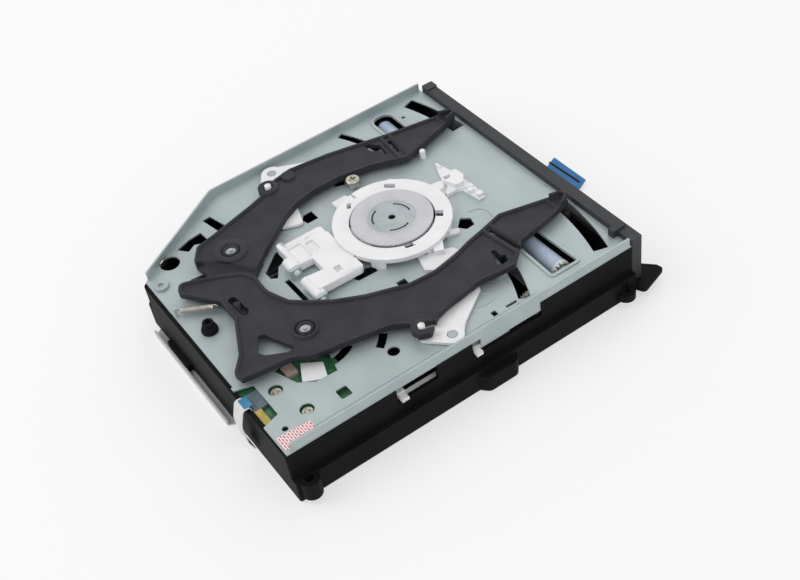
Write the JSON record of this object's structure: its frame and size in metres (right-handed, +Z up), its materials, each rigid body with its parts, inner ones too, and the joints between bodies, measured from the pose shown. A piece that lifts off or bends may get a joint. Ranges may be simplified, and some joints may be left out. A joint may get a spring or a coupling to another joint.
{
  "type": "slot-loading optical disc drive",
  "caption": "Slot-loading console optical drive, lid off: steel top plate with black disc-centring levers and magnetic clamp over a moulded chassis with a traverse, feed roller and cam slider.",
  "frame": {"origin": "under the disc's spin axis, in the plane of the bottom cover's outer face", "axes": "+Z up through the disc, -Y out of the disc slot, +X to the right as seen from the slot"},
  "size_m": [0.1568, 0.1914, 0.0316],
  "materials": {
    "plate_steel": "satin zinc-plated sheet",
    "cover_steel": "satin zinc-plated sheet",
    "lever_black": "fine moulded texture",
    "housing_black": "semi-matte moulded",
    "bezel_grey": "fine moulded texture",
    "white_plastic": "satin moulded",
    "clamp_white": "satin moulded",
    "turned_steel": "turned",
    "magnet_dark": "nickel coat over sintered magnet",
    "spring_steel": "drawn wire",
    "screw_steel": "zinc plated",
    "roller_rubber": "soft silicone",
    "damper_rubber": "soft butyl",
    "gear_white": "satin acetal",
    "gear_black": "satin acetal",
    "frame_black": "semi-matte moulded",
    "deck_steel": "satin zinc-plated sheet",
    "motor_steel": "drawn can",
    "turntable_black": "satin",
    "sled_metal": "die-cast",
    "lens_glass": "coated lens",
    "board_green": "solder mask",
    "chip_black": "moulded resin",
    "socket_grey": "moulded",
    "cable_blue": "film",
    "cable_white": "film",
    "seal_pink": "printed film, plain",
    "brass_pinion": "turned"
  },
  "bodies": {
    "housing": {"chassis": "housing_black", "bottom_cover": "cover_steel", "cover_screws": "screw_steel", "front_bezel": "bezel_grey", "top_plate": "plate_steel", "clamp_ring": "white_plastic", "lever_pivots": "turned_steel", "plate_rivets": "turned_steel", "bumper_post": "housing_black", "skew_screw": "screw_steel", "stop_peg": "white_plastic", "front_latch": "white_plastic", "lever_spring": "spring_steel", "sensor_board": "board_green", "board_screws": "screw_steel", "flex_socket": "socket_grey", "sensor_lamp": "white_plastic", "rear_cable": "cable_white", "main_board": "board_green", "board_chips": "chip_black", "cable_socket": "socket_grey", "front_cable": "cable_blue", "seal_label": "seal_pink", "gear_axles": "turned_steel", "loading_motor": "motor_steel", "traverse_hinge_pin": "turned_steel"},
    "right_lever": {"lever_right": "lever_black"},
    "left_lever": {"lever_left": "lever_black"},
    "right_elbow": {"elbow_right": "white_plastic"},
    "left_elbow": {"elbow_left": "white_plastic"},
    "clamp_carrier": {"clamp_arm": "white_plastic"},
    "clamp": {"clamp_disc": "clamp_white", "clamp_yoke": "turned_steel", "clamp_magnet": "magnet_dark"},
    "slider": {"cam_slider": "white_plastic"},
    "slider_gear": {"slider_pinion": "gear_white"},
    "traverse": {"lift_frame": "frame_black", "traverse_deck": "deck_steel", "deck_dampers": "damper_rubber", "deck_screws": "screw_steel", "spindle_motor": "motor_steel", "guide_rods": "turned_steel", "rod_clips": "frame_black", "sled_motor": "motor_steel"},
    "spindle": {"spindle_rotor": "motor_steel", "turntable": "turntable_black"},
    "screw": {"lead_screw": "turned_steel"},
    "sled": {"pickup_sled": "sled_metal"},
    "lens": {"lens_holder": "gear_black", "objective_lens": "lens_glass"},
    "roller_carrier": {"roller_bracket": "deck_steel", "roller_bushes": "gear_black"},
    "roller": {"roller_shaft": "turned_steel", "roller_sleeves": "roller_rubber", "roller_gear": "gear_white"},
    "idler": {"idler_gear": "gear_white"},
    "middle": {"middle_gear": "gear_white"},
    "transfer": {"transfer_gear": "gear_white"},
    "motor_shaft": {"motor_pinion": "brass_pinion"}
  },
  "joints": [
    {"name": "lever_right_swing", "type": "hinge", "parent": "housing", "child": "right_lever", "pos_m": [0.0286, 0.0595, 0.026], "axis": [0, 0, 1], "range_deg": [0, 12], "stiffness_Nm_per_rad": 0.0065, "springref_deg": -20.05},
    {"name": "lever_left_swing", "type": "hinge", "parent": "housing", "child": "left_lever", "pos_m": [-0.029, 0.0593, 0.027], "axis": [0, 0, 1], "range_deg": [-12, 0]},
    {"name": "elbow_right_turn", "type": "hinge", "parent": "housing", "child": "right_elbow", "pos_m": [0.0634, 0.0205, 0.025], "axis": [0, 0, 1], "range_deg": [-36.6, 0]},
    {"name": "elbow_left_turn", "type": "hinge", "parent": "housing", "child": "left_elbow", "pos_m": [-0.0652, 0.0181, 0.025], "axis": [0, 0, 1], "range_deg": [0, 46.2]},
    {"name": "cam_slide", "type": "slide", "parent": "housing", "child": "slider", "axis": [0, -1, 0], "range_m": [0, 0.012]},
    {"name": "traverse_lift", "type": "hinge", "parent": "housing", "child": "traverse", "pos_m": [0.058, 0.0145, 0.009], "axis": [0, 1, 0], "range_deg": [0, 2.57]},
    {"name": "clamp_drop", "type": "hinge", "parent": "housing", "child": "clamp_carrier", "pos_m": [-0.006, 0.0453, 0.0272], "axis": [1, 0, 0], "range_deg": [0, 1.6]},
    {"name": "roller_drop", "type": "hinge", "parent": "housing", "child": "roller_carrier", "pos_m": [0, -0.0304, 0.0082], "axis": [1, 0, 0], "range_deg": [0, 20]},
    {"name": "slider_pinion_turn", "type": "hinge", "parent": "housing", "child": "slider_gear", "pos_m": [-0.0693, -0.02026, 0.01264], "axis": [1, 0, 0], "range_deg": [-229.2, 0]},
    {"name": "clamp_spin", "type": "hinge", "parent": "clamp_carrier", "child": "clamp", "pos_m": [0, 0, 0.029], "axis": [0, 0, 1], "continuous": true},
    {"name": "roller_spin", "type": "hinge", "parent": "roller_carrier", "child": "roller", "pos_m": [0, -0.0375, 0.0185], "axis": [1, 0, 0], "continuous": true},
    {"name": "idler_spin", "type": "hinge", "parent": "housing", "child": "idler", "pos_m": [-0.0635, -0.03381, 0.0209], "axis": [1, 0, 0], "continuous": true},
    {"name": "middle_spin", "type": "hinge", "parent": "housing", "child": "middle", "pos_m": [-0.0635, -0.0286, 0.01653], "axis": [1, 0, 0], "continuous": true},
    {"name": "transfer_spin", "type": "hinge", "parent": "housing", "child": "transfer", "pos_m": [-0.063, -0.02026, 0.01264], "axis": [1, 0, 0], "continuous": true},
    {"name": "motor_spin", "type": "hinge", "parent": "housing", "child": "motor_shaft", "pos_m": [-0.061, -0.01226, 0.01264], "axis": [1, 0, 0], "continuous": true},
    {"name": "spindle_spin", "type": "hinge", "parent": "traverse", "child": "spindle", "pos_m": [-0.00026, 0, 0.01339], "axis": [-0.0448, 0, 0.999], "continuous": true},
    {"name": "sled_travel", "type": "slide", "parent": "traverse", "child": "sled", "axis": [0, 1, 0], "range_m": [0, 0.034]},
    {"name": "lead_screw_turn", "type": "hinge", "parent": "traverse", "child": "screw", "pos_m": [0.02831, 0.0375, 0.01027], "axis": [0, 1, 0], "range_deg": [0, 4081]},
    {"name": "lens_focus", "type": "slide", "parent": "sled", "child": "lens", "axis": [-0.0448, 0, 0.999], "range_m": [-0.0005, 0.0005], "stiffness_N_per_m": 40}
  ],
  "couplings": [
    {"joint": "lever_left_swing", "follows": "lever_right_swing", "ratio": -1},
    {"joint": "elbow_right_turn", "follows": "lever_right_swing", "ratio": -3.05},
    {"joint": "elbow_left_turn", "follows": "lever_right_swing", "ratio": 3.85},
    {"joint": "traverse_lift", "follows": "cam_slide", "rad_per_m": 3.7379},
    {"joint": "clamp_drop", "follows": "cam_slide", "rad_per_m": 2.3271},
    {"joint": "roller_drop", "follows": "cam_slide", "rad_per_m": 29.089},
    {"joint": "slider_pinion_turn", "follows": "cam_slide", "rad_per_m": -333.33},
    {"joint": "idler_spin", "follows": "roller_spin", "ratio": -1.75},
    {"joint": "middle_spin", "follows": "roller_spin", "ratio": 0.53846},
    {"joint": "transfer_spin", "follows": "roller_spin", "ratio": -0.7},
    {"joint": "motor_spin", "follows": "roller_spin", "ratio": 2.1},
    {"joint": "lead_screw_turn", "follows": "sled_travel", "rad_per_m": 2094.4}
  ]
}
